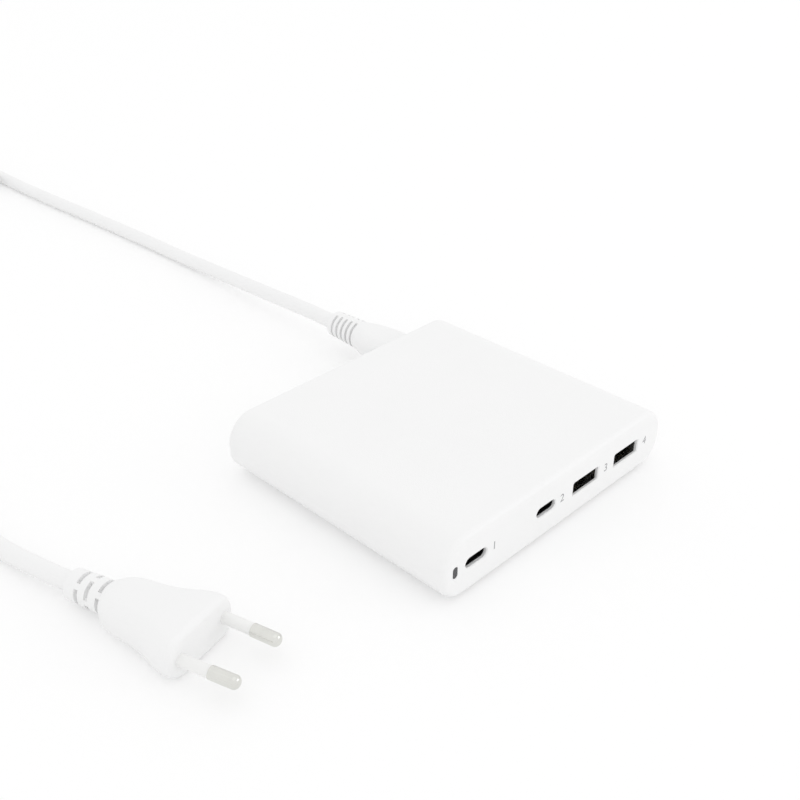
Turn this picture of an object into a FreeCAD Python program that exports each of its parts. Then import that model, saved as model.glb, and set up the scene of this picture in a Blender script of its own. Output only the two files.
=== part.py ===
import FreeCAD, Part
import math
import os

V = FreeCAD.Vector

# All sizes are in millimetres. The case stands on z = 0, its sockets face -Y and its mains inlet +Y.

# Case: a moulded sleeve with rounded sides and a closed front, shut by a panel at the rear.
case_width = 109.0
case_depth = 97.0
case_height = 21.0
side_radius_top = 10.0
side_radius_bottom = 8.5
front_edge_radius = 2.0
rear_edge_radius = 1.0
wall = 2.0
front_wall = 2.0
panel_thickness = 2.0
panel_inset = 0.4
panel_clearance = 0.1

# Feet: soft pads set in shallow pockets under the case.
foot_diameter = 12.0
foot_stand = 1.0
foot_pocket_depth = 0.6
foot_from_side = 16.5
foot_from_end = 14.0

# Sockets: the left pair of places is held from the left side, the other three from the right side.
socket_height = 10.5
mouth_bevel = 0.35
lamp_from_side = 4.8
lamp_to_first_oval = 9.2
last_flat_from_side = 20.1
flat_to_flat = 22.1
oval_to_flat = 20.3

# Flat socket with a metal shell and a plastic tongue near its top. It stands in a pocket behind its mouth.
flat_mouth_width = 13.2
flat_mouth_height = 4.8
flat_mouth_corner = 0.5
flat_mouth_depth = 1.0
flat_gap_to_wall = 0.1
flat_pocket_clearance = 0.15
flat_shell_width = 13.1
flat_shell_height = 5.72
flat_shell_length = 14.0
flat_shell_corner = 0.7
flat_shell_sheet = 0.3
flat_tongue_width = 11.1
flat_tongue_thickness = 1.84
flat_tongue_from_top = 0.45
flat_tongue_setback = 1.2
flat_block_length = 4.0

# Oval socket with a thin tongue in its middle. It reaches into its mouth.
oval_recess = 1.15
oval_mouth_clearance = 0.15
oval_shell_width = 8.94
oval_shell_height = 3.16
oval_shell_length = 7.5
oval_shell_sheet = 0.3
oval_tongue_width = 6.7
oval_tongue_thickness = 0.7
oval_tongue_setback = 0.6
oval_block_length = 2.5
oval_tab_length = 1.2
oval_tab_from_end = 1.0

# Indicator: a smoked lens through the front wall that brings the light up from a lamp on the board.
lens_width = 2.0
lens_height = 4.0
lens_clearance = 0.05
lens_recess = 0.1
lens_flange = 0.7
lens_flange_thickness = 1.0
lamp_size = 1.6
lamp_height = 0.8

# Board: it slides in on rails moulded on the inside of the sleeve.
board_thickness = 1.6
board_side_gap = 1.0
board_front_gap = 0.3
board_rear_gap = 0.4
rail_grip = 1.8
rail_thickness = 1.6
rail_slack = 0.15
rail_front_gap = 15.0
sheet_thickness = 0.4
sheet_margin = 1.0
head_room = 0.8

# Mains inlet: a socket with two pins behind the rear panel.
inlet_from_side = 22.6
inlet_centre_height = 9.8
inlet_width = 18.4
inlet_height = 11.6
inlet_corner = 4.6
inlet_length = 17.0
inlet_wall_clearance = 0.1
inlet_collar = 1.0
inlet_collar_thickness = 1.5
inlet_cavity_depth = 13.6
inlet_pin_diameter = 2.4
inlet_pin_spacing = 8.6
inlet_pin_reach = 9.5
inlet_tail_width = 1.2
lobe_radius = 4.2
lobe_spacing = 6.2
nose_clearance = 0.2
nose_length = 13.0
pin_hole_clearance = 0.15
board_notch_gap = 0.6

# Parts on the board, held from its sides and ends.
bulk_length = 30.0
bulk_from_side = 3.2
bulk_gap = 1.0
bulk_from_rear = 3.0
can_crimp = 0.5
fuse_size = (4.2, 8.5, 8.0)
fuse_gap = 2.5
filter_size = (17.5, 8.5, 9.6)
filter_gap = 2.0
mains_from_rear = 8.5
choke_diameter = 17.0
choke_hole = 7.0
choke_core_height = 6.0
choke_winding = 1.4
choke_winding_angle = 130.0
choke_from_inlet = 16.0
bridge_size = (3.6, 14.0, 9.8)
bridge_from_inlet = 13.0
core_from_bulk = 7.0
core_from_front = 55.5
core_length = 20.0
core_plate = 2.0
core_leg_share = 0.14
core_post_share = 0.29
winding_gap = 0.3
spreader_thickness = 1.5
spreader_length = 28.0
spreader_foot = 2.0
spreader_from_core = 3.5
spreader_from_bridge = 3.0
chip_size = (5.0, 4.0, 1.6)
chip_from_inlet = 34.0
output_can_diameter = 6.3
output_can_height = 9.0
output_can_pitch = 9.0
output_can_count = 4
output_can_row = 30.5
inductor_size = (8.0, 8.0, 6.5)
inductor_pitch = 16.0
inductor_count = 3
inductor_row = 20.5
part_corner = 0.6

# Mains lead: a round cord with a moulded connector at the case and a two-pin plug at its far end.
cord_diameter = 6.0
connector_width = 17.0
connector_thickness = 11.2
connector_corner = 4.6
connector_length = 20.0
connector_middle_at = 0.75
connector_middle_width = 16.5
connector_neck_width = 14.8
connector_neck_thickness = 11.0
connector_taper = 5.8
relief_length = 15.2
relief_start_diameter = 11.4
relief_end_diameter = 10.2
relief_slits = 5
relief_slit_width = 1.2
relief_slit_pitch = 2.75
relief_slit_lead = 0.9
relief_slit_radius = 3.8
relief_spine = 2.6
round_share = 0.49
lead_length = 16.0
arc_share = 0.45

plug_front = (-112.6, -14.6)
plug_heading = -76.0
plug_pitch = 2.0
plug_length = 33.0
plug_grip_at = 0.30
plug_middle_at = 0.64
plug_shoulder_at = 0.90
plug_width = 26.0
plug_grip_width = 23.8
plug_middle_width = 18.6
plug_shoulder_width = 15.6
plug_thickness = 13.4
plug_middle_thickness = 12.6
plug_shoulder_thickness = 11.8
plug_end_diameter = 10.6
plug_roundness = 0.40
plug_edge_radius = 2.0
plug_relief_length = 14.0
plug_relief_diameter = 10.4
plug_relief_end_diameter = 9.6
plug_slit_width = 1.5
plug_slit_bridge = 1.8
plug_slit_radius = 3.4
plug_slit_places = (4.1, 8.1, 12.5)
plug_slit_turns = (45.0, 0.0, 45.0)
plug_pin_diameter = 4.0
plug_pin_spacing = 18.6
plug_pin_tip_spacing = 17.6
plug_pin_length = 19.0
plug_collar_length = 10.0
plug_collar_diameter = 3.6
plug_pin_core_diameter = 3.0
plug_pin_depth = 7.0
plug_collar_depth = 3.0
plug_pin_round = 1.5

# Stowed length: a coil of the cord, two layers deep, held by a tie.
coil_centre = (-5.5, 387.0)
coil_mean_radius = 31.0
coil_columns = 3
coil_layers = 2
coil_stub = 28.0
coil_tuck = 0.4
tie_thickness = 0.8
tie_width = 9.0
tie_clearance = 0.1

# Route of the cord from the connector to the coil, between the straight leads at its two ends.
# The third number is the height of its underside above the table.
rear_route = [
    (33.2, 132.0, 5.6),
    (36.0, 164.0, 2.4),
    (36.8, 200.0, 0.4),
    (36.4, 238.0, 0.1),
    (34.8, 276.0, 0.2),
    (32.6, 312.0, 0.4),
]

# Route of the cord from the coil to the plug, between the straight leads at its two ends.
plug_route = [
    (-44.0, 308.0, 3.7),
    (-54.0, 266.0, 0.6),
    (-69.0, 230.0, 0.1),
    (-88.0, 194.0, 0.2),
    (-106.0, 160.0, 0.1),
    (-120.0, 126.0, 0.2),
    (-128.6, 94.0, 0.1),
    (-131.0, 69.0, 0.3),
]

# Places worked out from the sizes above.
half_width = case_width / 2
front_y = -case_depth / 2
rear_y = case_depth / 2
case_low = foot_stand
case_high = foot_stand + case_height
inner_low = case_low + wall
inner_high = case_high - wall
inner_front = front_y + front_wall
panel_outer = rear_y - panel_inset
panel_inner = panel_outer - panel_thickness
socket_z = case_low + socket_height
flat_front = front_y + flat_mouth_depth + flat_gap_to_wall
oval_front = front_y + oval_recess
board_top = socket_z - flat_shell_height / 2
board_low = board_top - board_thickness
board_front = inner_front + board_front_gap
board_rear = panel_inner - board_rear_gap
tall = inner_high - board_top - head_room
lamp_x = -half_width + lamp_from_side
oval_places = {"left": lamp_x + lamp_to_first_oval}
flat_places = {"right": half_width - last_flat_from_side}
flat_places["left"] = flat_places["right"] - flat_to_flat
oval_places["right"] = flat_places["left"] - oval_to_flat
inlet_x = half_width - inlet_from_side
inlet_z = case_low + inlet_centre_height
inlet_back = panel_outer - inlet_length
cord_radius = cord_diameter / 2
relief_start = panel_outer + connector_length + connector_taper
relief_end = relief_start + relief_length


def outline(width, low, high, r_low, r_high, y, x=0.0):
    """Closed outline at one y: flat top and bottom, with rounded corners of two radii."""
    corners = [
        (x - width / 2, low, r_low, 1, 1),
        (x + width / 2, low, r_low, -1, 1),
        (x + width / 2, high, r_high, -1, -1),
        (x - width / 2, high, r_high, 1, -1),
    ]
    edges = []
    ends = []
    for index, (cx, cz, radius, sx, sz) in enumerate(corners):
        centre = V(cx + sx * radius, y, cz + sz * radius)
        on_side = centre - V(sx * radius, 0, 0)
        on_flat = centre - V(0, 0, sz * radius)
        middle = centre - V(sx, 0, sz) * (radius * math.sqrt(0.5))
        first, last = (on_side, on_flat) if index % 2 == 0 else (on_flat, on_side)
        edges.append(Part.Arc(first, middle, last).toShape())
        ends.append((first, last))
    for index in range(4):
        start = ends[index][1]
        stop = ends[(index + 1) % 4][0]
        if start.distanceToPoint(stop) > 1e-6:
            edges.append(Part.LineSegment(start, stop).toShape())
    return Part.Wire(Part.__sortEdges__(edges))


def bar(wire, length):
    """Solid drawn along +Y from a closed outline."""
    return Part.Face(wire).extrude(V(0, length, 0))


def oblong(x, width, height, corner, y0, y1, z=socket_z):
    """Bar along Y with a rounded oblong section, at the sockets' height unless another is given."""
    return bar(outline(width, z - height / 2, z + height / 2, corner, corner, y0, x), y1 - y0)


def block(x0, x1, y0, y1, z0, z1):
    return Part.makeBox(x1 - x0, y1 - y0, z1 - z0, V(x0, y0, z0))


def turned(profile):
    """Solid of revolution about Z from (radius, height) corners."""
    corners = [V(radius, 0, height) for radius, height in profile]
    return Part.Face(Part.makePolygon(corners + corners[:1])).revolve(V(0, 0, 0), V(0, 0, 1), 360)


def moved(shape, place, axis=V(0, 0, 1)):
    """A copy whose own Z lies along axis, set down at a place."""
    copy = shape.copy()
    copy.Placement = FreeCAD.Placement(place, FreeCAD.Rotation(V(0, 0, 1), axis)).multiply(copy.Placement)
    return copy


def upright_edges(shape):
    """Straight edges that stand along Z."""
    return [e for e in shape.Edges if abs(e.tangentAt(e.FirstParameter).z) > 0.999]


def board_part(x, y, size):
    """Moulded part that stands on the board, with softened upright corners."""
    wide, long, high = size
    body = block(x - wide / 2, x + wide / 2, y - long / 2, y + long / 2, board_top, board_top + high)
    return body.makeFillet(part_corner, upright_edges(body))


def inner_half(z):
    """Half of the sleeve's inner width at a height."""
    half = half_width - wall
    for radius, centre, side in (
        (side_radius_bottom - wall, case_low + side_radius_bottom, -1),
        (side_radius_top - wall, case_high - side_radius_top, 1),
    ):
        off = side * (z - centre)
        if off > 0:
            return half - radius + math.sqrt(radius ** 2 - off ** 2)
    return half


def sleeve_outline(inset, y):
    """The case's section, moved inwards by a distance."""
    return outline(
        case_width - 2 * inset,
        case_low + inset,
        case_high - inset,
        side_radius_bottom - inset,
        side_radius_top - inset,
        y,
    )


board_half = inner_half(board_low) - board_side_gap
bulk_end = -board_half + bulk_from_side + 2 * tall + bulk_gap
bridge_x = inlet_x - bridge_from_inlet
spreader_x = bridge_x - bridge_size[0] / 2 - spreader_from_bridge - spreader_thickness
core_x0 = bulk_end + core_from_bulk
core_width = spreader_x - spreader_from_core - core_x0
core_x = core_x0 + core_width / 2
core_y = front_y + core_from_front
core_leg = core_leg_share * core_width
core_post_diameter = core_post_share * core_width
fuse_x = inlet_x - inlet_width / 2 - inlet_collar - fuse_gap - fuse_size[0] / 2
filter_x = fuse_x - fuse_size[0] / 2 - filter_gap - filter_size[0] / 2
mains_y = board_rear - mains_from_rear
choke_place = V(inlet_x, inlet_back - choke_from_inlet, board_top)


def mouth(x, width, height, corner):
    """Cut for a socket's mouth: a clear passage through the front wall with a bevelled edge."""
    passage = oblong(x, width, height, corner, front_y - 1, inner_front + 1)
    wide = outline(
        width + 2 * mouth_bevel,
        socket_z - height / 2 - mouth_bevel,
        socket_z + height / 2 + mouth_bevel,
        corner + mouth_bevel,
        corner + mouth_bevel,
        front_y,
        x,
    )
    narrow = outline(
        width, socket_z - height / 2, socket_z + height / 2, corner, corner, front_y + mouth_bevel, x
    )
    return passage.fuse(Part.makeLoft([wide, narrow], True, True))


def flat_pocket(x):
    """Cut behind a flat socket's mouth for the front of its shell."""
    return oblong(
        x,
        flat_shell_width + 2 * flat_pocket_clearance,
        flat_shell_height + 2 * flat_pocket_clearance,
        flat_shell_corner + flat_pocket_clearance,
        front_y + flat_mouth_depth,
        inner_front + 1,
    )


oval_mouth = (
    oval_shell_width + 2 * oval_mouth_clearance,
    oval_shell_height + 2 * oval_mouth_clearance,
    oval_shell_height / 2 + oval_mouth_clearance,
)
foot_places = {
    "front_left": (-half_width + foot_from_side, front_y + foot_from_end),
    "front_right": (half_width - foot_from_side, front_y + foot_from_end),
    "rear_left": (-half_width + foot_from_side, rear_y - foot_from_end),
    "rear_right": (half_width - foot_from_side, rear_y - foot_from_end),
}


def build_housing():
    body = bar(sleeve_outline(0, front_y), case_depth)
    front_rim = [e for e in body.Edges if abs(e.BoundBox.YMax - front_y) < 1e-6]
    body = body.makeFillet(front_edge_radius, front_rim)
    rear_rim = [e for e in body.Edges if abs(e.BoundBox.YMin - rear_y) < 1e-6]
    body = body.makeFillet(rear_edge_radius, rear_rim)
    body = body.cut(bar(sleeve_outline(wall, inner_front), case_depth))
    rail_front = inner_front + rail_front_gap
    core = bar(sleeve_outline(wall / 2, rail_front), panel_inner - rail_front)
    for side in (-1, 1):
        for low, high in (
            (board_low - rail_thickness, board_low),
            (board_top + rail_slack, board_top + rail_slack + rail_thickness),
        ):
            edges = sorted((side * (board_half - rail_grip), side * half_width))
            rail = block(edges[0], edges[1], rail_front, panel_inner, low, high)
            body = body.fuse(rail.common(core))
    for x, y in foot_places.values():
        body = body.cut(Part.makeCylinder(foot_diameter / 2, foot_pocket_depth, V(x, y, case_low)))
    for x in flat_places.values():
        body = body.cut(mouth(x, flat_mouth_width, flat_mouth_height, flat_mouth_corner))
        body = body.cut(flat_pocket(x))
    for x in oval_places.values():
        body = body.cut(mouth(x, *oval_mouth))
    lens_hole = oblong(
        lamp_x,
        lens_width + 2 * lens_clearance,
        lens_height + 2 * lens_clearance,
        lens_width / 2 + lens_clearance,
        front_y - 1,
        inner_front + 1,
    )
    return body.cut(lens_hole).removeSplitter()


def build_rear_panel():
    panel = bar(sleeve_outline(wall + panel_clearance, panel_inner), panel_thickness)
    opening = oblong(
        inlet_x,
        inlet_width + 2 * inlet_wall_clearance,
        inlet_height + 2 * inlet_wall_clearance,
        inlet_corner + inlet_wall_clearance,
        panel_inner - 1,
        panel_outer + 1,
        inlet_z,
    )
    return panel.cut(opening)


def build_foot(x, y):
    high = foot_stand + foot_pocket_depth
    pad = Part.makeCylinder(foot_diameter / 2, high, V(x, y, 0))
    low_rim = [e for e in pad.Edges if e.BoundBox.ZMax < foot_stand / 2]
    return pad.makeFillet(foot_stand / 2, low_rim)


def build_flat_shell(x):
    back = flat_front + flat_shell_length
    outer = oblong(x, flat_shell_width, flat_shell_height, flat_shell_corner, flat_front, back)
    return outer.cut(flat_inside(x, flat_front - 1, back + 1))


def flat_inside(x, y0, y1):
    return oblong(
        x,
        flat_shell_width - 2 * flat_shell_sheet,
        flat_shell_height - 2 * flat_shell_sheet,
        flat_shell_corner - flat_shell_sheet,
        y0,
        y1,
    )


def build_flat_tongue(x):
    back = flat_front + flat_shell_length
    rear = flat_inside(x, back - flat_block_length, back)
    top = socket_z + flat_shell_height / 2 - flat_shell_sheet - flat_tongue_from_top
    tongue = block(
        x - flat_tongue_width / 2,
        x + flat_tongue_width / 2,
        flat_front + flat_tongue_setback,
        back - flat_block_length,
        top - flat_tongue_thickness,
        top,
    )
    return rear.fuse(tongue).removeSplitter()


def oval_inside(x, y0, y1):
    height = oval_shell_height - 2 * oval_shell_sheet
    return oblong(x, oval_shell_width - 2 * oval_shell_sheet, height, height / 2, y0, y1)


def build_oval_shell(x):
    """Oval shell on four tabs that carry it above the board."""
    back = oval_front + oval_shell_length
    shell = oblong(x, oval_shell_width, oval_shell_height, oval_shell_height / 2, oval_front, back)
    for side in (-1, 1):
        outer = x + side * oval_shell_width / 2
        sides = sorted((outer, outer - side * oval_shell_sheet))
        for start in (board_front + oval_tab_from_end, back - oval_tab_from_end - oval_tab_length):
            tab = block(sides[0], sides[1], start, start + oval_tab_length, board_top, socket_z)
            shell = shell.fuse(tab)
    return shell.cut(oval_inside(x, oval_front - 1, back + 1)).removeSplitter()


def build_oval_tongue(x):
    back = oval_front + oval_shell_length
    rear = oval_inside(x, back - oval_block_length, back)
    tongue = block(
        x - oval_tongue_width / 2,
        x + oval_tongue_width / 2,
        oval_front + oval_tongue_setback,
        back - oval_block_length,
        socket_z - oval_tongue_thickness / 2,
        socket_z + oval_tongue_thickness / 2,
    )
    return rear.fuse(tongue).removeSplitter()


def build_lens():
    flange_back = inner_front + lens_flange_thickness
    pipe = oblong(lamp_x, lens_width, lens_height, lens_width / 2, front_y + lens_recess, flange_back)
    flange = oblong(
        lamp_x,
        lens_width + 2 * lens_flange,
        lens_height + 2 * lens_flange,
        lens_width / 2 + lens_flange,
        inner_front,
        flange_back,
    )
    leg = block(
        lamp_x - lens_width / 2,
        lamp_x + lens_width / 2,
        flange_back - lens_flange_thickness,
        flange_back + lamp_size,
        board_top + lamp_height,
        socket_z,
    )
    return pipe.fuse(flange).fuse(leg).removeSplitter()


def build_lamp():
    start = inner_front + lens_flange_thickness
    half = lamp_size / 2
    return block(lamp_x - half, lamp_x + half, start, start + lamp_size, board_top, board_top + lamp_height)


def build_board():
    board = block(-board_half, board_half, board_front, board_rear, board_low, board_top)
    half_notch = inlet_width / 2 + inlet_collar + board_notch_gap
    notch = block(
        inlet_x - half_notch,
        inlet_x + half_notch,
        inlet_back - board_notch_gap,
        board_rear + 1,
        board_low - 1,
        board_top + 1,
    )
    return board.cut(notch)


def build_sheet():
    half = half_width - side_radius_bottom - sheet_margin
    return block(
        -half,
        half,
        inner_front + sheet_margin,
        panel_inner - sheet_margin,
        inner_low,
        inner_low + sheet_thickness,
    )


def two_lobes(radius, y0, y1):
    """Bar along Y with the waisted section of a two-pin appliance socket."""
    lobes = [
        Part.makeCylinder(radius, y1 - y0, V(inlet_x + side * lobe_spacing / 2, y0, inlet_z), V(0, 1, 0))
        for side in (-1, 1)
    ]
    return lobes[0].fuse(lobes[1]).removeSplitter()


def inlet_pin_places():
    return {"left": inlet_x - inlet_pin_spacing / 2, "right": inlet_x + inlet_pin_spacing / 2}


def build_inlet():
    body = oblong(inlet_x, inlet_width, inlet_height, inlet_corner, inlet_back, panel_outer, inlet_z)
    collar = oblong(
        inlet_x,
        inlet_width + 2 * inlet_collar,
        inlet_height + 2 * inlet_collar,
        inlet_corner + inlet_collar,
        panel_inner - inlet_collar_thickness,
        panel_inner,
        inlet_z,
    )
    body = body.fuse(collar)
    body = body.cut(two_lobes(lobe_radius, panel_outer - inlet_cavity_depth, panel_outer + 1))
    for x in inlet_pin_places().values():
        hole = Part.makeCylinder(
            inlet_pin_diameter / 2, inlet_length, V(x, inlet_back - 1, inlet_z), V(0, 1, 0)
        )
        body = body.cut(hole)
    return body.removeSplitter()


def build_inlet_pin(x):
    """Round pin whose flat tail turns down to the board behind the inlet."""
    tail_y = inlet_back - inlet_tail_width - board_notch_gap
    tip = panel_outer - inlet_cavity_depth + inlet_pin_reach
    radius = inlet_pin_diameter / 2
    pin = Part.makeCylinder(radius, tip - tail_y, V(x, tail_y, inlet_z), V(0, 1, 0))
    tip_rim = [e for e in pin.Edges if e.BoundBox.YMin > tip - 1e-3]
    pin = pin.makeFillet(radius / 2, tip_rim)
    half = inlet_tail_width / 2
    tail = block(x - half, x + half, tail_y, tail_y + inlet_tail_width, board_top, inlet_z)
    return pin.fuse(tail).removeSplitter()


def can(radius, length):
    """Round can with a crimp groove near one end."""
    return turned(
        [
            (0, 0),
            (radius - can_crimp, 0),
            (radius, can_crimp),
            (radius, 2 * can_crimp),
            (radius - can_crimp, 3 * can_crimp),
            (radius, 4 * can_crimp),
            (radius, length - can_crimp),
            (radius - can_crimp, length),
            (0, length),
        ]
    )


def build_bulk(index):
    radius = tall / 2
    x = -board_half + bulk_from_side + radius + index * (tall + bulk_gap)
    start = V(x, board_rear - bulk_from_rear, board_top + radius)
    return moved(can(radius, bulk_length), start, V(0, -1, 0))


def build_output_can(index):
    x = core_x + (index - (output_can_count - 1) / 2) * output_can_pitch
    place = V(x, front_y + output_can_row, board_top)
    return moved(can(output_can_diameter / 2, output_can_height), place)


def build_inductor(index):
    x = core_x + (index - (inductor_count - 1) / 2) * inductor_pitch
    return board_part(x, front_y + inductor_row, inductor_size)


def ring(outer, inner, low, high):
    return turned([(inner, low), (outer, low), (outer, high), (inner, high)])


def build_choke_core():
    base = choke_winding
    core = ring(choke_diameter / 2 - base, choke_hole / 2 + base, base, base + choke_core_height)
    return moved(core, choke_place)


def build_choke_winding(side):
    """One of the two windings: a sleeve round a stretch of the ring core."""
    full = ring(choke_diameter / 2, choke_hole / 2, 0, choke_core_height + 2 * choke_winding)
    hollow = ring(
        choke_diameter / 2 - choke_winding,
        choke_hole / 2 + choke_winding,
        choke_winding,
        choke_winding + choke_core_height,
    )
    sector = Part.makeCylinder(
        choke_diameter, choke_diameter, V(0, 0, -1), V(0, 0, 1), choke_winding_angle
    )
    sector.rotate(V(0, 0, 0), V(0, 0, 1), side * 90 - choke_winding_angle / 2)
    return moved(full.cut(hollow).common(sector), choke_place)


def build_core():
    """Two ferrite halves round a post: plates above and below, legs at the two ends."""
    half = core_width / 2
    long = core_length / 2
    body = block(core_x - half, core_x + half, core_y - long, core_y + long, board_top, board_top + tall)
    window = block(
        core_x - half + core_leg,
        core_x + half - core_leg,
        core_y - long - 1,
        core_y + long + 1,
        board_top + core_plate,
        board_top + tall - core_plate,
    )
    post = Part.makeCylinder(core_post_diameter / 2, tall, V(core_x, core_y, board_top))
    return body.cut(window).fuse(post).removeSplitter()


def build_winding():
    outer = core_width / 2 - core_leg - winding_gap
    inner = core_post_diameter / 2 + winding_gap
    low = core_plate
    coil = ring(outer, inner, low, tall - core_plate)
    return moved(coil, V(core_x, core_y, board_top))


def build_spreader():
    """Bent plate beside the transformer, standing on its foot."""
    x = spreader_x
    y0 = core_y - spreader_length / 2
    y1 = core_y + spreader_length / 2
    plate = block(x, x + spreader_thickness, y0, y1, board_top, board_top + tall)
    foot = block(x - spreader_foot, x, y0, y1, board_top, board_top + spreader_thickness)
    return plate.fuse(foot).removeSplitter()


def slit_ring(outer, inner, width, bridge, turns):
    """Slits round the Z axis: a band, with a bridge left across it at each turn."""
    band = ring(outer, inner, 0, width)
    for turn in turns:
        rib = block(-2 * outer, 2 * outer, -bridge / 2, bridge / 2, -width, 2 * width)
        rib.rotate(V(0, 0, 0), V(0, 0, 1), turn)
        band = band.cut(rib)
    return band


def build_connector():
    """Moulded connector: nose in the inlet, body, taper and slitted strain relief."""
    middle = panel_outer + connector_length * connector_middle_at
    stations = [
        (panel_outer, connector_width, connector_thickness, connector_corner),
        (middle, connector_middle_width, connector_thickness, connector_corner),
        (panel_outer + connector_length, connector_neck_width, connector_neck_thickness, connector_corner),
        (relief_start, relief_start_diameter, relief_start_diameter, round_share * relief_start_diameter),
    ]
    sections = []
    for y, width, height, corner in stations:
        sections.append(
            outline(width, inlet_z - height / 2, inlet_z + height / 2, corner, corner, y, inlet_x)
        )
    body = Part.makeLoft(sections, True, False)
    relief = turned(
        [
            (0, 0),
            (relief_start_diameter / 2, 0),
            (relief_end_diameter / 2, relief_length),
            (0, relief_length),
        ]
    )
    slits = slit_ring(relief_start_diameter, relief_slit_radius, relief_slit_width, relief_spine, [90])
    for index in range(relief_slits):
        relief = relief.cut(moved(slits, V(0, 0, relief_slit_lead + relief_slit_pitch * index)))
    relief = moved(relief, V(inlet_x, relief_start, inlet_z), V(0, 1, 0))
    nose = two_lobes(lobe_radius - nose_clearance, panel_outer - nose_length, panel_outer)
    for x in inlet_pin_places().values():
        hole_radius = inlet_pin_diameter / 2 + pin_hole_clearance
        start = V(x, panel_outer - nose_length, inlet_z)
        nose = nose.cut(Part.makeCylinder(hole_radius, nose_length, start, V(0, 1, 0)))
    return body.fuse(relief).fuse(nose).removeSplitter()


def plug_section(x, width, height, roundness=plug_roundness):
    """Section of the plug across its own X axis."""
    corner = min(width, height) * roundness
    wire = outline(width, -height / 2, height / 2, corner, corner, 0)
    wire.rotate(V(0, 0, 0), V(0, 0, 1), 90)
    wire.translate(V(x, 0, 0))
    return wire


def plug_placement():
    """Where the plug lies: on its belly and on the end of its relief."""
    turn = FreeCAD.Rotation(V(0, 0, 1), plug_heading)
    tilt = FreeCAD.Rotation(V(0, 1, 0), -plug_pitch)
    return FreeCAD.Placement(V(plug_front[0], plug_front[1], 0), turn.multiply(tilt))


def pin_axis(side):
    """Start on the plug's face and direction of a pin: the two pins lean towards each other."""
    start = V(0, side * plug_pin_spacing / 2, 0)
    end = V(plug_pin_length, side * plug_pin_tip_spacing / 2, 0)
    return start, (end - start).normalize()


def pin_bar(side, diameter, start, stop):
    base, along = pin_axis(side)
    return Part.makeCylinder(diameter / 2, stop - start, base + along * start, along)


def build_plug_pin(side):
    tip = pin_bar(side, plug_pin_diameter, plug_collar_length, plug_pin_length)
    base, along = pin_axis(side)
    far = base + along * plug_pin_length
    rim = [e for e in tip.Edges if (e.CenterOfMass - far).Length < 0.01]
    tip = tip.makeFillet(plug_pin_round, rim)
    core = pin_bar(side, plug_pin_core_diameter, -plug_pin_depth, plug_collar_length)
    return tip.fuse(core).removeSplitter()


def build_collar(side):
    sleeve = pin_bar(side, plug_collar_diameter, -plug_collar_depth, plug_collar_length)
    return sleeve.cut(pin_bar(side, plug_pin_core_diameter, -plug_collar_depth - 1, plug_collar_length + 1))


def build_plug_body():
    """Moulded grip that narrows from its face to a shoulder, then a slitted relief."""
    body = Part.makeLoft(
        [
            plug_section(-plug_length, plug_end_diameter, plug_end_diameter, round_share),
            plug_section(-plug_length * plug_shoulder_at, plug_shoulder_width, plug_shoulder_thickness),
            plug_section(-plug_length * plug_middle_at, plug_middle_width, plug_middle_thickness),
            plug_section(-plug_length * plug_grip_at, plug_grip_width, plug_thickness),
            plug_section(0.0, plug_width, plug_thickness),
        ],
        True,
        False,
    )
    face_rim = [e for e in body.Edges if e.BoundBox.XMin > -1e-3]
    body = body.makeFillet(plug_edge_radius, face_rim)
    relief = turned(
        [
            (0, 0),
            (plug_relief_end_diameter / 2, 0),
            (plug_relief_diameter / 2, plug_relief_length),
            (0, plug_relief_length),
        ]
    )
    for place, turn in zip(plug_slit_places, plug_slit_turns):
        bridges = [turn, turn + 90]
        slits = slit_ring(plug_relief_diameter, plug_slit_radius, plug_slit_width, plug_slit_bridge, bridges)
        relief = relief.cut(moved(slits, V(0, 0, place)))
    body = body.fuse(moved(relief, V(-plug_length - plug_relief_length, 0, 0), V(1, 0, 0)))
    for side in (-1, 1):
        body = body.cut(pin_bar(side, plug_collar_diameter, -plug_collar_depth, 1))
        body = body.cut(pin_bar(side, plug_pin_core_diameter, -plug_pin_depth, 1))
    return body.removeSplitter()


def on_table(route):
    """Points on the cord's middle line, from places given by the height of its underside."""
    return [V(x, y, height + cord_radius) for x, y, height in route]


def tube(name, corners):
    """Round cord along straight runs joined by arcs that are as large as their runs allow."""
    edges = []
    start = corners[0]
    radii = []
    for before, corner, after in zip(corners, corners[1:], corners[2:]):
        back = before - corner
        ahead = after - corner
        reach = arc_share * min(back.Length, ahead.Length)
        back.normalize()
        ahead.normalize()
        half_angle = back.getAngle(ahead) / 2
        radius = reach * math.tan(half_angle)
        towards = (back + ahead).normalize()
        centre = corner + towards * (reach / math.cos(half_angle))
        first = corner + back * reach
        last = corner + ahead * reach
        edges.append(Part.LineSegment(start, first).toShape())
        edges.append(Part.Arc(first, centre - towards * radius, last).toShape())
        radii.append(round(radius))
        start = last
    edges.append(Part.LineSegment(start, corners[-1]).toShape())
    path = Part.Wire(edges)
    section = Part.Wire(Part.makeCircle(cord_radius, corners[0], corners[1] - corners[0]))
    solid = path.makePipeShell([section], True, False)
    ratio = solid.Volume / (math.pi * cord_radius ** 2 * path.Length)
    print(name, "length", round(path.Length, 1), "radii", radii, "volume ratio", round(ratio, 5))
    return solid


coil_width = coil_columns * cord_diameter
coil_height = coil_layers * cord_diameter
coil_low = tie_thickness
coil_inner = coil_mean_radius - coil_width / 2
coil_outer = coil_mean_radius + coil_width / 2
coil_x, coil_y = coil_centre
coil_reach = coil_outer - cord_radius - coil_tuck
coil_start = V(coil_x + coil_reach, coil_y - coil_stub, coil_low + cord_radius + coil_tuck)
coil_end = V(coil_x - coil_reach, coil_y - coil_stub, coil_low + coil_height - cord_radius - coil_tuck)


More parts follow.
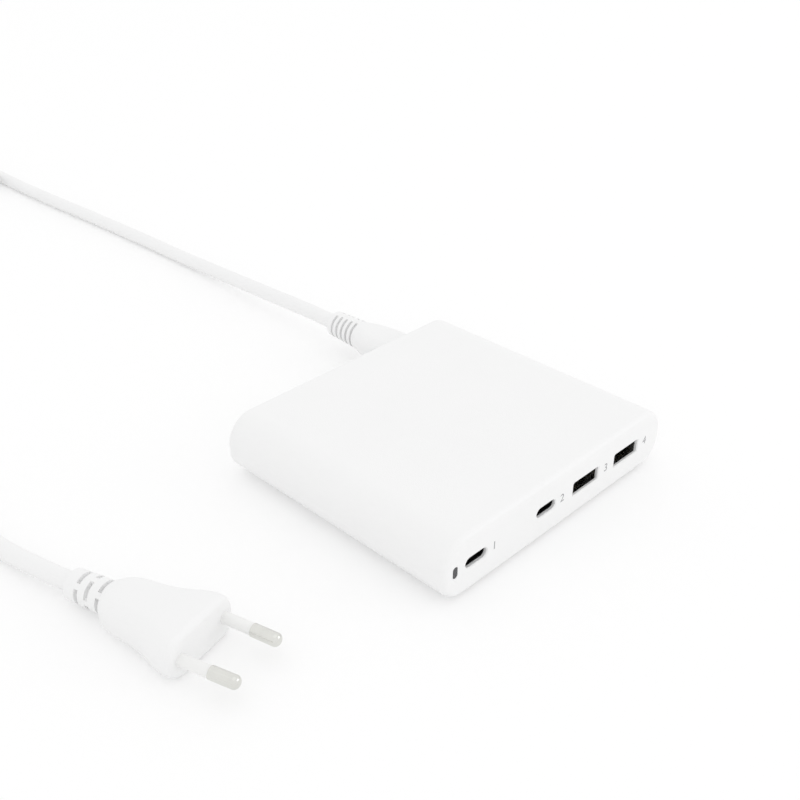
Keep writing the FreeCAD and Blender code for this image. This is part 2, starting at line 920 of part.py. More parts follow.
def build_coil():
    """Outer shape of the wound turns, with the straight ends that enter and leave them."""
    section = outline(
        coil_width, coil_low, coil_low + coil_height, cord_radius, cord_radius, 0, coil_mean_radius
    )
    turns = Part.Face(section).revolve(V(0, 0, 0), V(0, 0, 1), 360)
    turns.translate(V(coil_x, coil_y, 0))
    for end in (coil_start, coil_end):
        turns = turns.fuse(Part.makeCylinder(cord_radius, coil_stub, end, V(0, 1, 0)))
    return turns.removeSplitter()


def build_tie():
    """Strap round the turns at the far side of the coil."""
    low_y = coil_y + math.sqrt(coil_inner ** 2 - (tie_width / 2) ** 2) - tie_clearance
    high_y = coil_y + coil_outer + tie_clearance
    top = coil_low + coil_height + tie_clearance
    x0 = coil_x - tie_width / 2
    x1 = coil_x + tie_width / 2
    outer = block(x0, x1, low_y - tie_thickness, high_y + tie_thickness, 0, top + tie_thickness)
    return outer.cut(block(x0 - 1, x1 + 1, low_y, high_y, coil_low, top))


parts = {"housing": build_housing(), "rear_panel": build_rear_panel()}
for name, (x, y) in foot_places.items():
    parts["foot_" + name] = build_foot(x, y)
for name, x in oval_places.items():
    parts["oval_port_shell_" + name] = build_oval_shell(x)
    parts["oval_port_tongue_" + name] = build_oval_tongue(x)
for name, x in flat_places.items():
    parts["flat_port_shell_" + name] = build_flat_shell(x)
    parts["flat_port_tongue_" + name] = build_flat_tongue(x)
parts["indicator_lens"] = build_lens()
parts["indicator_lamp"] = build_lamp()
parts["main_board"] = build_board()
parts["insulation_sheet"] = build_sheet()
parts["inlet_socket"] = build_inlet()
for name, x in inlet_pin_places().items():
    parts["inlet_pin_" + name] = build_inlet_pin(x)
for index in range(2):
    parts["bulk_capacitor_%d" % (index + 1)] = build_bulk(index)
parts["fuse"] = board_part(fuse_x, mains_y, fuse_size)
parts["filter_capacitor"] = board_part(filter_x, mains_y, filter_size)
parts["choke_core"] = build_choke_core()
for name, side in (("left", -1), ("right", 1)):
    parts["choke_winding_" + name] = build_choke_winding(side)
parts["bridge_rectifier"] = board_part(bridge_x, choke_place.y, bridge_size)
parts["transformer_core"] = build_core()
parts["transformer_winding"] = build_winding()
parts["heat_spreader"] = build_spreader()
parts["controller_chip"] = board_part(inlet_x, inlet_back - chip_from_inlet, chip_size)
for index in range(output_can_count):
    parts["output_capacitor_%d" % (index + 1)] = build_output_can(index)
for index in range(inductor_count):
    parts["output_inductor_%d" % (index + 1)] = build_inductor(index)

parts["mains_connector"] = build_connector()
relief_mouth = V(inlet_x, relief_end, inlet_z)
lead = V(0, lead_length, 0)
rear_run = [relief_mouth, relief_mouth + lead] + on_table(rear_route) + [coil_start - lead, coil_start]
parts["cord_rear_run"] = tube("cord_rear_run", rear_run)
parts["cord_coil"] = build_coil()
parts["coil_tie"] = build_tie()

plug_pieces = {"plug_body": build_plug_body()}
for name, side in (("near", -1), ("far", 1)):
    plug_pieces["plug_pin_" + name] = build_plug_pin(side)
    plug_pieces["plug_collar_" + name] = build_collar(side)
lie = plug_placement()
for piece in plug_pieces.values():
    piece.Placement = lie.multiply(piece.Placement)
rest = -plug_pieces["plug_body"].optimalBoundingBox().ZMin
for name, piece in plug_pieces.items():
    piece.translate(V(0, 0, rest))
    parts[name] = piece
lie.Base = lie.Base + V(0, 0, rest)
plug_mouth = lie.multVec(V(-plug_length - plug_relief_length, 0, 0))
plug_lead = lie.multVec(V(-plug_length - plug_relief_length - lead_length, 0, 0))
plug_run = [coil_end, coil_end - lead] + on_table(plug_route) + [plug_lead, plug_mouth]
parts["cord_plug_run"] = tube("cord_plug_run", plug_run)

os.makedirs("parts", exist_ok=True)
for name, shape in parts.items():
    shape.exportStep("parts/%s.step" % name)
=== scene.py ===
import math

import bpy
from mathutils import Matrix, Vector


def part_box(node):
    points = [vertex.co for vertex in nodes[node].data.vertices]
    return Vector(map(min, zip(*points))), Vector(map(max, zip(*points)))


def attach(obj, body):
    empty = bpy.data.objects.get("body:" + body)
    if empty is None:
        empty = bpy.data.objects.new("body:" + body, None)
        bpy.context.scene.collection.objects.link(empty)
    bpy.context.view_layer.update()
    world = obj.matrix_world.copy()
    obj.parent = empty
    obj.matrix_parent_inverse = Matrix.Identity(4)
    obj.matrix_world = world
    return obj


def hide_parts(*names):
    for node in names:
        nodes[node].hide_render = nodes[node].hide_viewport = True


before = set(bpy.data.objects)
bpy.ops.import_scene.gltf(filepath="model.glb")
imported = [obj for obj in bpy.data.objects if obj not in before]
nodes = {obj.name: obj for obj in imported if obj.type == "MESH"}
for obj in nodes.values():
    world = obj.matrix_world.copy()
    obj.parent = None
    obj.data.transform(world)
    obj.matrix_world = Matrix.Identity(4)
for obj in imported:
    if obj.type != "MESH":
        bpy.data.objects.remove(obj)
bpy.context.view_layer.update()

# Case: a sleeve with a closed front, moulded in one shot from white plastic with a satin grain.
# The rear panel is bonded into its open end. Everything else is fixed in these two or to them.
case_white = (0.905, 0.905, 0.905)
cloud_scale = 45.0
gloss_swing = 0.05
# Sockets of a Mix node for colours, which go by number because their names repeat.
mix_share, mix_first, mix_second, mix_colour = 0, 6, 7, 2


class Value:
    """A socket of a node tree. Arithmetic on it adds Math nodes to the same tree."""

    def __init__(self, socket):
        self.socket = socket

    def math(self, operation, other):
        tree = Tree(self.socket.id_data)
        return tree.node("ShaderNodeMath", {"operation": operation}, {0: self, 1: other})

    def __add__(self, other):
        return self.math("ADD", other)

    def __mul__(self, other):
        return self.math("MULTIPLY", other)

    __radd__ = __add__
    __rmul__ = __mul__


class Tree:
    """A node tree that grows by one call for each node."""

    def __init__(self, tree):
        self.tree = tree

    def fill(self, node, sockets):
        for name, value in sockets.items():
            if isinstance(value, Value):
                self.tree.links.new(value.socket, node.inputs[name])
            else:
                node.inputs[name].default_value = value

    def node(self, kind, settings=(), sockets=(), out=0):
        node = self.tree.nodes.new(kind)
        for name, value in dict(settings).items():
            setattr(node, name, value)
        self.fill(node, dict(sockets))
        return Value(node.outputs[out])


class Finish(Tree):
    """A material for one kind of surface, built on its own Principled shader."""

    def __init__(self, name):
        self.material = bpy.data.materials.new(name)
        self.material.use_nodes = True
        super().__init__(self.material.node_tree)
        self.shader = self.tree.nodes["Principled BSDF"]

    def place(self):
        return self.node("ShaderNodeTexCoord", out="Object")

    def noise(self, scale, detail=2.0, roughness=0.5, vector=None):
        vector = vector or self.place()
        sockets = {"Vector": vector, "Scale": scale, "Detail": detail, "Roughness": roughness}
        return self.node("ShaderNodeTexNoise", {}, sockets)

    def blend(self, share, first, second):
        sockets = {mix_share: share, mix_first: (*first, 1.0), mix_second: (*second, 1.0)}
        return self.node("ShaderNodeMix", {"data_type": "RGBA"}, sockets, mix_colour)

    def bump(self, height, depth):
        sockets = {"Height": height, "Distance": depth, "Strength": 1.0}
        return self.node("ShaderNodeBump", {}, sockets)

    def shade(self, **sockets):
        sockets = {name.replace("_", " "): value for name, value in sockets.items()}
        self.fill(self.shader, sockets)
        return self.material


def darker(colour, share):
    return tuple(channel * (1.0 - share) for channel in colour)


def moulded(name, colour, roughness=0.40, grain_scale=2400.0, grain_depth=0.00004, drift=0.02):
    """Moulded plastic: a fine eroded grain, a slow drift of shade and some wear in its gloss."""
    finish = Finish(name)
    cloud = finish.noise(cloud_scale, detail=3.0)
    grain = finish.noise(grain_scale, roughness=0.6)
    return finish.shade(
        Base_Color=finish.blend(cloud, darker(colour, drift), colour),
        Roughness=roughness - gloss_swing + 2 * gloss_swing * cloud,
        Normal=finish.bump(grain, grain_depth),
        IOR=1.5,
    )


def dress(material, names):
    """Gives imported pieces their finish."""
    for name in names:
        mesh = nodes[name].data
        mesh.materials.clear()
        mesh.materials.append(material)


dress(moulded("case_plastic", case_white), ["housing", "rear_panel"])

# Feet: round pads of soft grey rubber, each bonded into a shallow pocket under the case.
# They are cut from sheet, so their grain is coarse and their shade uneven.
foot_grey = (0.55, 0.55, 0.55)


def named(*starts):
    """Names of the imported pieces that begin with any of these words."""
    return [name for name in nodes if name.startswith(starts)]


foot_rubber = moulded(
    "foot_rubber", foot_grey, roughness=0.75, grain_scale=1500.0, grain_depth=0.00008, drift=0.12
)
dress(foot_rubber, named("foot_"))

# Circuit board: glass and resin with green lacquer over its copper tracks, slid into the case's
# rails. The sheet under it is amber film, laid loose on the case's floor to keep the mains away
# from it.
track_green = (0.035, 0.19, 0.085)
track_depth = 0.00003
track_shade = 0.35
haze_scale = 60.0
film_amber = (0.60, 0.42, 0.16)
lacquer = Finish("board_lacquer")
tracks = lacquer.node(
    "ShaderNodeTexBrick",
    {"offset": 0.35, "squash": 2.0, "squash_frequency": 3},
    {"Vector": lacquer.place(), "Scale": 90.0, "Mortar Size": 0.035, "Mortar Smooth": 0.2},
    "Fac",
)
board_lacquer = lacquer.shade(
    Base_Color=lacquer.blend(tracks, track_green, darker(track_green, track_shade)),
    Roughness=0.22 + 0.12 * lacquer.noise(haze_scale),
    Normal=lacquer.bump(tracks, -track_depth),
)
dress(board_lacquer, ["main_board"])
amber_film = moulded(
    "amber_film", film_amber, roughness=0.30, grain_scale=300.0, grain_depth=0.00003, drift=0.15
)
dress(amber_film, ["insulation_sheet"])

# Parts of the mains side and the converter, all soldered to the board by their legs.
# The cans wear shrunk dark sleeves. The fuse, the film capacitor and the chips are moulded.
sleeve_black = (0.045, 0.045, 0.065)
fuse_brown = (0.20, 0.11, 0.06)
film_grey = (0.42, 0.43, 0.44)
chip_black = (0.02, 0.02, 0.02)
shrunk_sleeve = moulded(
    "shrunk_sleeve", sleeve_black, roughness=0.26, grain_scale=900.0, grain_depth=0.00003, drift=0.3
)
dress(shrunk_sleeve, named("bulk_capacitor_", "output_capacitor_"))
fuse_case = moulded("fuse_case", fuse_brown, roughness=0.42, grain_scale=1500.0, drift=0.15)
dress(fuse_case, ["fuse"])
film_case = moulded("film_capacitor_case", film_grey, roughness=0.28, grain_scale=1200.0, drift=0.1)
dress(film_case, ["filter_capacitor"])
chip_case = moulded(
    "chip_case", chip_black, roughness=0.52, grain_scale=2600.0, grain_depth=0.00006, drift=0.3
)
dress(chip_case, ["bridge_rectifier", "controller_chip"])

# Chokes and transformer: pressed and fired ferrite, dark grey and matt, with a chalky skin.
# They are wound with enamelled copper wire, turn beside turn, with painted shade in the grooves.
ferrite_grey = (0.07, 0.07, 0.07)
copper = (0.66, 0.30, 0.12)
copper_groove_shade = (0.24, 0.085, 0.03)
wire_diameter = 0.0007
wire_haze_scale = 500.0
# Distance from band to band of a wave texture at scale 1.
wave_pitch = 0.314
ferrite = moulded(
    "ferrite", ferrite_grey, roughness=0.66, grain_scale=1400.0, grain_depth=0.00012, drift=0.35
)
dress(ferrite, ["choke_core", "transformer_core"] + named("output_inductor_"))
enamel = Finish("enamelled_wire")
wave_sockets = {
    "Vector": enamel.place(),
    "Scale": wave_pitch / wire_diameter,
    "Distortion": 0.4,
    "Detail Scale": 40.0,
}
turns = enamel.node(
    "ShaderNodeTexWave", {"bands_direction": "Z", "wave_profile": "SIN"}, wave_sockets
)
# The darker copper in the grooves between the turns is painted shade.
enamelled_wire = enamel.shade(
    Base_Color=enamel.blend(turns, copper_groove_shade, copper),
    Metallic=0.85,
    Roughness=0.30 + 0.15 * enamel.noise(wire_haze_scale),
    Normal=enamel.bump(turns, wire_diameter / 3),
)
dress(enamelled_wire, ["transformer_winding"] + named("choke_winding_"))

# Heat spreader: a strip of rolled aluminium, folded at its foot and soldered to the board.
# The rolling leaves fine lines along the sheet.
aluminium = (0.70, 0.70, 0.70)
lines_along_y = (900.0, 60.0, 900.0)
scratch_swing = 0.06
scratch_depth = 0.00001
stain_scale = 220.0
stain_share = 0.10


def rolled_metal(name, colour, roughness, stretch):
    """Rolled or plated metal with fine lines, drawn out along the axis of the least stretch."""
    finish = Finish(name)
    sheet = finish.node("ShaderNodeMapping", {}, {"Vector": finish.place(), "Scale": stretch})
    scratch = finish.noise(scale=1.0, detail=3.0, vector=sheet)
    stain = finish.noise(stain_scale)
    return finish.shade(
        Base_Color=finish.blend(stain, darker(colour, stain_share), colour),
        Metallic=1.0,
        Roughness=roughness - scratch_swing + 2 * scratch_swing * scratch,
        Normal=finish.bump(scratch, scratch_depth),
    )


spreader_metal = rolled_metal(
    "spreader_aluminium", aluminium, roughness=0.34, stretch=lines_along_y
)
dress(spreader_metal, ["heat_spreader"])

# Charging sockets: folded steel shells, bright on the flat ones and blackened on the oval ones.
# The oval shells' black also serves as painted shade deep inside their mouths.
# They are soldered to the board behind the case's mouths, and each holds a tongue of black
# moulded plastic with rows of gold-plated contacts pressed into it.
mm = 0.001
bright_steel = (0.62, 0.62, 0.61)
black_steel_mouth_shade = (0.05, 0.05, 0.052)
tongue_black = (0.018, 0.018, 0.018)
contact_gold = (0.83, 0.62, 0.25)
lines_along_x = (60.0, 900.0, 900.0)
flat_shell = rolled_metal("bright_steel", bright_steel, roughness=0.26, stretch=lines_along_x)
dress(flat_shell, named("flat_port_shell_"))
# Blackened steel, dark enough to act as painted shade deep in the oval mouths.
oval_shell = rolled_metal("black_steel_mouth_shade", black_steel_mouth_shade, roughness=0.42, stretch=lines_along_x)
dress(oval_shell, named("oval_port_shell_"))
tongue_plastic = moulded(
    "tongue_black", tongue_black, roughness=0.45, grain_scale=2600.0, grain_depth=0.00003, drift=0.3
)
dress(tongue_plastic, named("flat_port_tongue_", "oval_port_tongue_"))
contact_plating = rolled_metal(
    "contact_plating", contact_gold, roughness=0.22, stretch=lines_along_y
)
contact_inputs = {
    "Columns": "NodeSocketInt",
    "Pitch": "NodeSocketFloat",
    "Rows": "NodeSocketInt",
    "Spacing": "NodeSocketFloat",
    "Pad": "NodeSocketVector",
    "First": "NodeSocketVector",
    "Plating": "NodeSocketMaterial",
}
contact_group = bpy.data.node_groups.new("contact_rows", "GeometryNodeTree")
contact_group.interface.new_socket("Contacts", in_out="OUTPUT", socket_type="NodeSocketGeometry")
contact_sockets = {
    name: contact_group.interface.new_socket(name, in_out="INPUT", socket_type=kind).identifier
    for name, kind in contact_inputs.items()
}
rows = Tree(contact_group)


def given(name):
    return rows.node("NodeGroupInput", out=name)


across = rows.node("ShaderNodeCombineXYZ", {}, {"X": given("Pitch")})
upwards = rows.node("ShaderNodeCombineXYZ", {}, {"Z": given("Spacing")})
columns = rows.node(
    "GeometryNodeMeshLine",
    {},
    {"Count": given("Columns"), "Start Location": given("First"), "Offset": across},
)
levels = rows.node("GeometryNodeMeshLine", {}, {"Count": given("Rows"), "Offset": upwards})
pad = rows.node("GeometryNodeMeshCube", {}, {"Size": given("Pad")})
one_row = rows.node("GeometryNodeInstanceOnPoints", {}, {"Points": columns, "Instance": pad})
all_rows = rows.node("GeometryNodeInstanceOnPoints", {}, {"Points": levels, "Instance": one_row})
solid_rows = rows.node("GeometryNodeRealizeInstances", {}, {"Geometry": all_rows})
plated_rows = rows.node(
    "GeometryNodeSetMaterial", {}, {"Geometry": solid_rows, "Material": given("Plating")}
)
contact_output = contact_group.nodes.new("NodeGroupOutput")
contact_group.links.new(plated_rows.socket, contact_output.inputs["Contacts"])


def part_of_case(name, mesh):
    """A finished piece that stays with the case."""
    piece = bpy.data.objects.new(name, mesh)
    bpy.context.scene.collection.objects.link(piece)
    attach(piece, "root")
    return piece


def contact_rows(name, tongue, setback, height, sizes):
    """Rows of contacts across the middle of a tongue as one plain mesh, from the tree's sizes."""
    low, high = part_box(tongue)
    left = (low[0] + high[0]) / 2 - (sizes["Columns"] - 1) / 2 * sizes["Pitch"]
    first = (left, low[1] + setback + sizes["Pad"][1] / 2, height)
    holder = bpy.data.objects.new(name, bpy.data.meshes.new(name))
    bpy.context.scene.collection.objects.link(holder)
    growth = holder.modifiers.new("contacts", "NODES")
    growth.node_group = contact_group
    for socket, value in dict(sizes, First=first, Plating=contact_plating).items():
        growth[contact_sockets[socket]] = value
    shown = holder.evaluated_get(bpy.context.evaluated_depsgraph_get())
    mesh = bpy.data.meshes.new_from_object(shown)
    bpy.data.objects.remove(holder)
    return part_of_case(name, mesh)


# Flat sockets carry four wide contacts under the tongue, oval ones twelve narrow ones on each of
# its faces.
flat_tongue_under_top = 0.75 * mm
flat_tongue_thickness = 1.84 * mm
flat_setback = 0.8 * mm
flat_rows = {
    "Columns": 4,
    "Pitch": 2.4 * mm,
    "Rows": 1,
    "Spacing": 0.0,
    "Pad": (1.0 * mm, 7.0 * mm, 0.08 * mm),
}
oval_tongue_thickness = 0.7 * mm
oval_setback = 0.5 * mm
oval_rows = {
    "Columns": 12,
    "Pitch": 0.5 * mm,
    "Rows": 2,
    "Spacing": oval_tongue_thickness,
    "Pad": (0.28 * mm, 3.0 * mm, 0.06 * mm),
}
for side in ("left", "right"):
    tongue = "flat_port_tongue_" + side
    shell_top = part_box("flat_port_shell_" + side)[1][2]
    underside = shell_top - flat_tongue_under_top - flat_tongue_thickness
    contact_rows("flat_port_contacts_" + side, tongue, flat_setback, underside, flat_rows)
    tongue = "oval_port_tongue_" + side
    low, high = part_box(tongue)
    lower_face = (low[2] + high[2] - oval_tongue_thickness) / 2
    contact_rows("oval_port_contacts_" + side, tongue, oval_setback, lower_face, oval_rows)

# Port numbers: 1 to 4 from the left, printed in thin grey ink on the front, right of each socket.
# The ink stands two hundredths of a millimetre proud of the plastic.
digit_size = 4.2 * mm
ink_thickness = 0.02 * mm
oval_to_number = 7.9 * mm
flat_to_number = 10.7 * mm
ink_dark = (0.30, 0.30, 0.31)
ink_pale = (0.40, 0.40, 0.41)
ink = Finish("number_ink")
ink_wear = ink.noise(scale=900.0, detail=3.0, roughness=0.6)
number_ink = ink.shade(Base_Color=ink.blend(ink_wear, ink_dark, ink_pale), Roughness=0.5)
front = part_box("housing")[0][1]
upright = Matrix.Rotation(math.pi / 2, 4, "X")
number_places = [
    ("oval_port_tongue_left", oval_to_number),
    ("oval_port_tongue_right", oval_to_number),
    ("flat_port_tongue_left", flat_to_number),
    ("flat_port_tongue_right", flat_to_number),
]
for number, (tongue, distance) in enumerate(number_places, 1):
    text = bpy.data.curves.new("digit", "FONT")
    text.body = str(number)
    text.size = digit_size
    text.extrude = ink_thickness
    text.align_x = "CENTER"
    text.align_y = "CENTER"
    drawing = bpy.data.objects.new("digit", text)
    mesh = bpy.data.meshes.new_from_object(drawing)
    bpy.data.objects.remove(drawing)
    low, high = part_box(tongue)
    centre = ((low[0] + high[0]) / 2 + distance, front, (low[2] + high[2]) / 2)
    mesh.transform(Matrix.Translation(centre) @ upright)
    mesh.materials.clear()
    mesh.materials.append(number_ink)
    part_of_case("port_number_%d" % number, mesh)

# Indicator: a lens of smoked clear plastic pressed through the front wall, polished at its face.
# Under its foot a small yellow lamp is soldered to the board.
lens_smoke = (0.055, 0.055, 0.06)
lamp_yellow = (0.85, 0.78, 0.45)
smoked_lens = moulded(
    "smoked_lens", lens_smoke, roughness=0.14, grain_scale=900.0, grain_depth=0.00001, drift=0.2
)
dress(smoked_lens, ["indicator_lens"])
lamp_resin = moulded(
    "lamp_resin", lamp_yellow, roughness=0.2, grain_scale=900.0, grain_depth=0.00001, drift=0.05
)
dress(lamp_resin, ["indicator_lamp"])

# Mains inlet: a black moulded socket behind the rear panel, with two turned and plated brass pins.
# The pins' tails go through the board and are soldered under it.
inlet_black = (0.03, 0.03, 0.03)
pin_nickel = (0.78, 0.78, 0.745)
no_lines = (900.0, 900.0, 900.0)
inlet_plastic = moulded(
    "inlet_plastic",
    inlet_black,
    roughness=0.48,
    grain_scale=1900.0,
    grain_depth=0.00005,
    drift=0.25,
)
dress(inlet_plastic, ["inlet_socket"])
pin_plating = rolled_metal("pin_plating", pin_nickel, roughness=0.2, stretch=no_lines)
dress(pin_plating, named("inlet_pin_"))

# Plug and connector: soft white plastic moulded straight onto the two ends of the cord.
# The plug's plated pins stand in it, each with a harder white collar round its root.
lead_white = (0.9, 0.9, 0.9)
collar_white = (0.88, 0.88, 0.87)
lead_plastic = moulded("lead_plastic", lead_white, roughness=0.46, grain_scale=1800.0)
dress(lead_plastic, ["mains_connector", "plug_body"])
dress(pin_plating, named("plug_pin_"))
collar_plastic = moulded(
    "collar_plastic",
    collar_white,
    roughness=0.38,
    grain_scale=1800.0,
    grain_depth=0.00003,
    drift=0.03,
)
dress(collar_plastic, named("plug_collar_"))

# Cord: a round white lead of soft plastic from the connector to the plug, extruded over two cores.
# The length that isn't needed is wound flat on the table in two layers. Lengths are in millimetres,
# and the third number of a route's place is the height of the cord's underside.
cord_diameter = 6.0
lead_length = 16.0
relief_mouth = (31.9, 89.1, 10.8)
rear_route = [
    (33.2, 132.0, 5.6),
    (36.0, 164.0, 2.4),
    (36.8, 200.0, 0.4),
    (36.4, 238.0, 0.1),
    (34.8, 276.0, 0.2),
    (32.6, 312.0, 0.4),
]
plug_route = [
    (-44.0, 308.0, 3.7),
    (-54.0, 266.0, 0.6),
    (-69.0, 230.0, 0.1),
    (-88.0, 194.0, 0.2),
    (-106.0, 160.0, 0.1),
    (-120.0, 126.0, 0.2),
    (-128.6, 94.0, 0.1),
    (-131.0, 69.0, 0.3),
]
plug_lead = (-127.83, 46.49, 4.86)
plug_mouth = (-123.96, 30.98, 5.42)
coil_centre = (-5.5, 387.0)
coil_stub = 28.0
coil_low = 3.8
coil_high = coil_low + cord_diameter
coil_tilt = 0.75
coil_turns = 4.5
turn_points = 16
# A point of the curve takes this share of one control point and the rest from its neighbours.
control_share = 0.75
# Turn by turn, the winding goes in along the table, climbs on the inside and comes out over itself.
coil_radii = [(0.0, 37.0), (2.0, 25.0), (2.25, 24.3), (2.5, 25.0), (coil_turns, 37.0)]
coil_heights = [(0.0, coil_low), (2.0, coil_low), (2.5, coil_high), (coil_turns, coil_high)]


def between(stops, turn):
    """A coil's size at a turn, on straight lines from stop to stop."""
    for (start, low), (stop, high) in zip(stops, stops[1:]):
        if turn <= stop:
            return low + (high - low) * (turn - start) / (stop - start)


def coil_points():
    """Control points of the wound turns; they stand a little outside the line that they pull round.

    The turns lie on the tape under their far side and on the table under their near side.
    """
    outside = control_share + (1 - control_share) * math.cos(2 * math.pi / turn_points)
    points = []
    for step in range(1, int(coil_turns * turn_points)):
        turn = step / turn_points
        angle = 2 * math.pi * turn
        radius = between(coil_radii, turn) / outside
        x = coil_centre[0] + radius * math.cos(angle)
        y = coil_centre[1] + radius * math.sin(angle)
        points.append((x, y, between(coil_heights, turn) - coil_tilt * (1 - math.sin(angle)) / 2))
    return points


def on_table(route):
    """Points on the cord's middle line, from places given by the height of its underside."""
    return [(x, y, height + cord_diameter / 2) for x, y, height in route]


def along_y(point, distance):
    return (point[0], point[1] + distance, point[2])


stub_y = coil_centre[1] - coil_stub
coil_start = (coil_centre[0] + coil_radii[0][1], stub_y, coil_low - coil_tilt / 2)
coil_end = (coil_centre[0] - coil_radii[-1][1], stub_y, coil_high - coil_tilt / 2)
route = [relief_mouth, along_y(relief_mouth, lead_length)] + on_table(rear_route)
route += [along_y(coil_start, -lead_length), coil_start, along_y(coil_start, coil_stub)]
route += coil_points()
route += [along_y(coil_end, coil_stub), coil_end, along_y(coil_end, -lead_length)]
route += on_table(plug_route) + [plug_lead, plug_mouth]
cord_curve = bpy.data.curves.new("mains_cord", "CURVE")
cord_curve.dimensions = "3D"
cord_curve.resolution_u = 6
cord_curve.bevel_depth = cord_diameter / 2 * mm
cord_curve.bevel_resolution = 8
cord_curve.use_fill_caps = True
line = cord_curve.splines.new("NURBS")
line.points.add(len(route) - 1)
for control, point in zip(line.points, route):
    control.co = (*(v * mm for v in point), 1.0)
line.order_u = 3
line.use_endpoint_u = True
cord_curve.materials.append(lead_plastic)
cord = part_of_case("mains_cord", cord_curve)
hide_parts("cord_rear_run", "cord_coil", "cord_plug_run")

# Tie: a strap of white woven tape drawn round the coil's turns at the far side and lapped over
# itself. Its weave shows as fine crossing ribs with painted shade in their hollows, and its two
# edges are sealed flat.
# Lengths are in millimetres here too, and bearings in degrees from the coil's outer side upwards.
tape_white = (0.86, 0.86, 0.85)
tape_hollow_shade = (0.72, 0.72, 0.71)
tape_width = 9.0
tape_thickness = 0.78
tape_gap = 0.02
tape_steps = 72
tape_corners = 4
tape_turns = (0.25, 1.25, 2.25, 3.25, 4.25)
round_bearings = (0, 360)
lap_bearings = (20, 150)
rib_pitch = 0.6
rib_depth = 0.2


def tape_line(distance, first, last):
    """Points (y, z) of a taut line round the turns, off the cord, from bearing to bearing."""
    held_turns = [
        Vector((between(coil_radii, turn), between(coil_heights, turn))) for turn in tape_turns
    ]
    points = []
    for step in range(tape_steps + 1):
        bearing = math.radians(first + (last - first) * step / tape_steps)
        pull = Vector((math.cos(bearing), math.sin(bearing)))
        held = max(held_turns, key=pull.dot)
        points.append(held + pull * (cord_diameter / 2 + distance))
    return points


def tape_strip(distance, first, last):
    """Corners, faces and weave places of one flat length of tape."""
    inner = tape_line(distance, first, last)
    outer = tape_line(distance + tape_thickness, first, last)
    corners = []
    places = []
    along = 0.0
    for step, (near, far) in enumerate(zip(inner, outer)):
        along += (far - outer[max(step - 1, 0)]).length
        for x, point in ((-1, near), (1, near), (1, far), (-1, far)):
            y = coil_centre[1] + point[0]
            corners.append(((coil_centre[0] + x * tape_width / 2) * mm, y * mm, point[1] * mm))
            places.append((x * tape_width / 2, along))
    faces = []
    for here in range(0, tape_corners * tape_steps, tape_corners):
        there = here + tape_corners
        for side in range(tape_corners):
            after = (side + 1) % tape_corners
            faces.append((here + side, here + after, there + after, there + side))
    faces += [(0, 3, 2, 1), tuple(range(there, there + tape_corners))]
    return corners, faces, places


corners, faces, places = tape_strip(tape_gap, *round_bearings)
lap_corners, lap_faces, lap_places = tape_strip(tape_gap + tape_thickness, *lap_bearings)
faces += [tuple(index + len(corners) for index in face) for face in lap_faces]
corners += lap_corners
places += lap_places
tape_mesh = bpy.data.meshes.new("coil_tape")
tape_mesh.from_pydata(corners, [], faces)
weave_map = tape_mesh.uv_layers.new(name="weave")
for loop in tape_mesh.loops:
    weave_map.data[loop.index].uv = places[loop.vertex_index]
weave = Finish("woven_tape")
weave_place = weave.node("ShaderNodeUVMap", {"uv_map": "weave"})
ribs = [
    weave.node(
        "ShaderNodeTexWave",
        {"bands_direction": direction},
        {"Vector": weave_place, "Scale": wave_pitch / rib_pitch, "Distortion": 0.3},
    )
    for direction in ("X", "Y")
]
cloth = ribs[0] * ribs[1]
# The darker tape in the hollows between the ribs is painted shade.
woven_tape = weave.shade(
    Base_Color=weave.blend(cloth, tape_hollow_shade, tape_white),
    Roughness=0.85,
    Normal=weave.bump(cloth, rib_depth * mm),
)
tape_mesh.materials.append(woven_tape)
tape = part_of_case("coil_tape", tape_mesh)
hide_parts("coil_tie")

# Table and light: a plain white table under an even studio light.
# One large soft lamp hangs overhead, and another stands low in front, to the right of the sockets.
white = (1.0, 1.0, 1.0, 1.0)
table_white = (0.98, 0.98, 0.98, 1.0)
table_half = 3.0
table_glow = 0.4
sky_strength = 0.98
table_mesh = bpy.data.meshes.new("table")
table_places = [(-table_half, -table_half), (table_half, -table_half)]
table_places += [(table_half, table_half), (-table_half, table_half)]
table_mesh.from_pydata([(x, y, 0.0) for x, y in table_places], [], [(0, 1, 2, 3)])
table = bpy.data.objects.new("table", table_mesh)
bpy.context.scene.collection.objects.link(table)


def seen(tree):
    """1 for rays that reach the eye straight, in a mirror or through glass, and 0 for light."""
    straight, mirrored, through = [
        tree.node("ShaderNodeLightPath", out=kind)
        for kind in ("Is Camera Ray", "Is Glossy Ray", "Is Transmission Ray")
    ]
    return straight.math("MAXIMUM", mirrored).math("MAXIMUM", through)


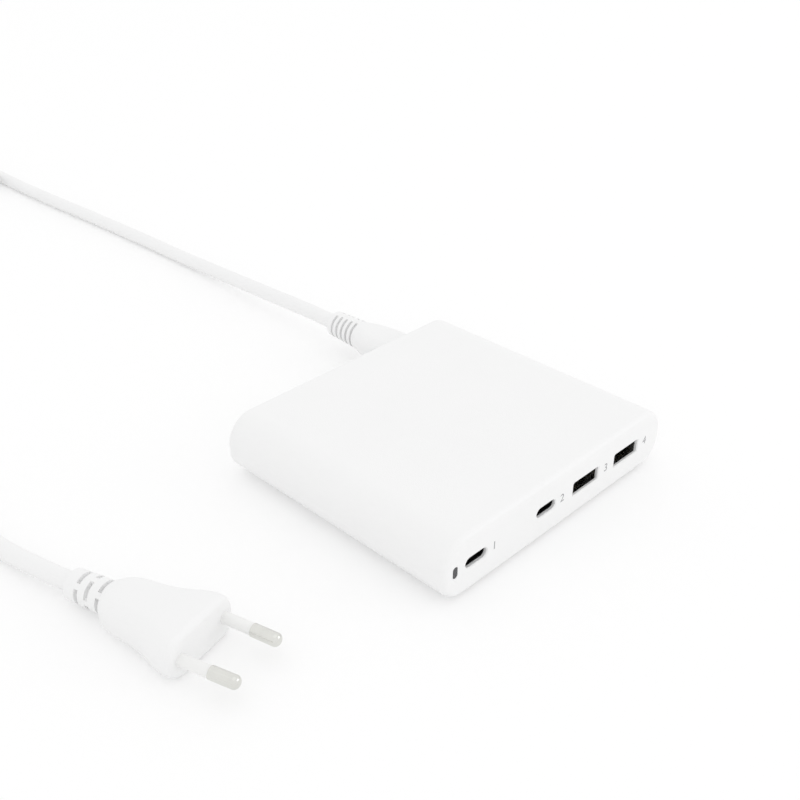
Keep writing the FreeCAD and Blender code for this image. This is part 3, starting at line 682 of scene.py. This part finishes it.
def show(tree, output, share, lit, shown):
    """Ends a tree in a mix of what light meets and a share of what the eye sees."""
    # The two shader sockets have one name, so the mix is filled by number.
    mix = tree.node("ShaderNodeMixShader", {}, {0: share, 1: lit, 2: shown})
    tree.tree.links.new(mix.socket, tree.tree.nodes[output].inputs["Surface"])


paper = Finish("table_paper")
paper.shade(Base_Color=table_white, Roughness=0.9)
matt = Value(paper.shader.outputs[0])
glow = paper.node("ShaderNodeEmission", {}, {"Color": white, "Strength": 1.0})
show(paper, "Material Output", table_glow * seen(paper), matt, glow)
table_mesh.materials.append(paper.material)

world = bpy.data.worlds.new("studio")
bpy.context.scene.world = world
world.use_nodes = True
studio = Tree(world.node_tree)
sky = studio.node("ShaderNodeBackground", {}, {"Color": white, "Strength": sky_strength})
backdrop = studio.node("ShaderNodeBackground", {}, {"Color": white, "Strength": 1.0})
show(studio, "World Output", seen(studio), sky, backdrop)


def set_up(thing, place, gaze):
    """Stands a lamp or a camera in its place, turned the way it looks."""
    thing.location = place
    thing.rotation_euler = gaze.to_track_quat("-Z", "Y").to_euler()
    bpy.context.scene.collection.objects.link(thing)


# Each soft box has its place, size and power, and faces the case.
soft_boxes = {
    "ceiling_box": (Vector((0.0, 0.0, 3.0)), 3.0, 3.2),
    "front_box": (Vector((1.8, -1.8, 0.75)), 1.4, 4.5),
}
for name, (place, size, power) in soft_boxes.items():
    light = bpy.data.lights.new(name, "AREA")
    light.size = size
    light.energy = power
    set_up(bpy.data.objects.new(name, light), place, -place)

# Camera: a still camera on a stand, which looks down on the left front corner of the case.
# Its lens is about a normal one, and its place and target are fitted to the case's edges.
camera_place = Vector((-0.229214, -0.202383, 0.212309))
camera_target = Vector((0.020006, 0.041535, 0.0))
camera_data = bpy.data.cameras.new("camera")
camera_data.sensor_width = 36.0
camera_data.lens = 48.81
camera = bpy.data.objects.new("camera", camera_data)
set_up(camera, camera_place, camera_target - camera_place)
bpy.context.scene.camera = camera
bpy.context.scene.view_settings.view_transform = "Standard"
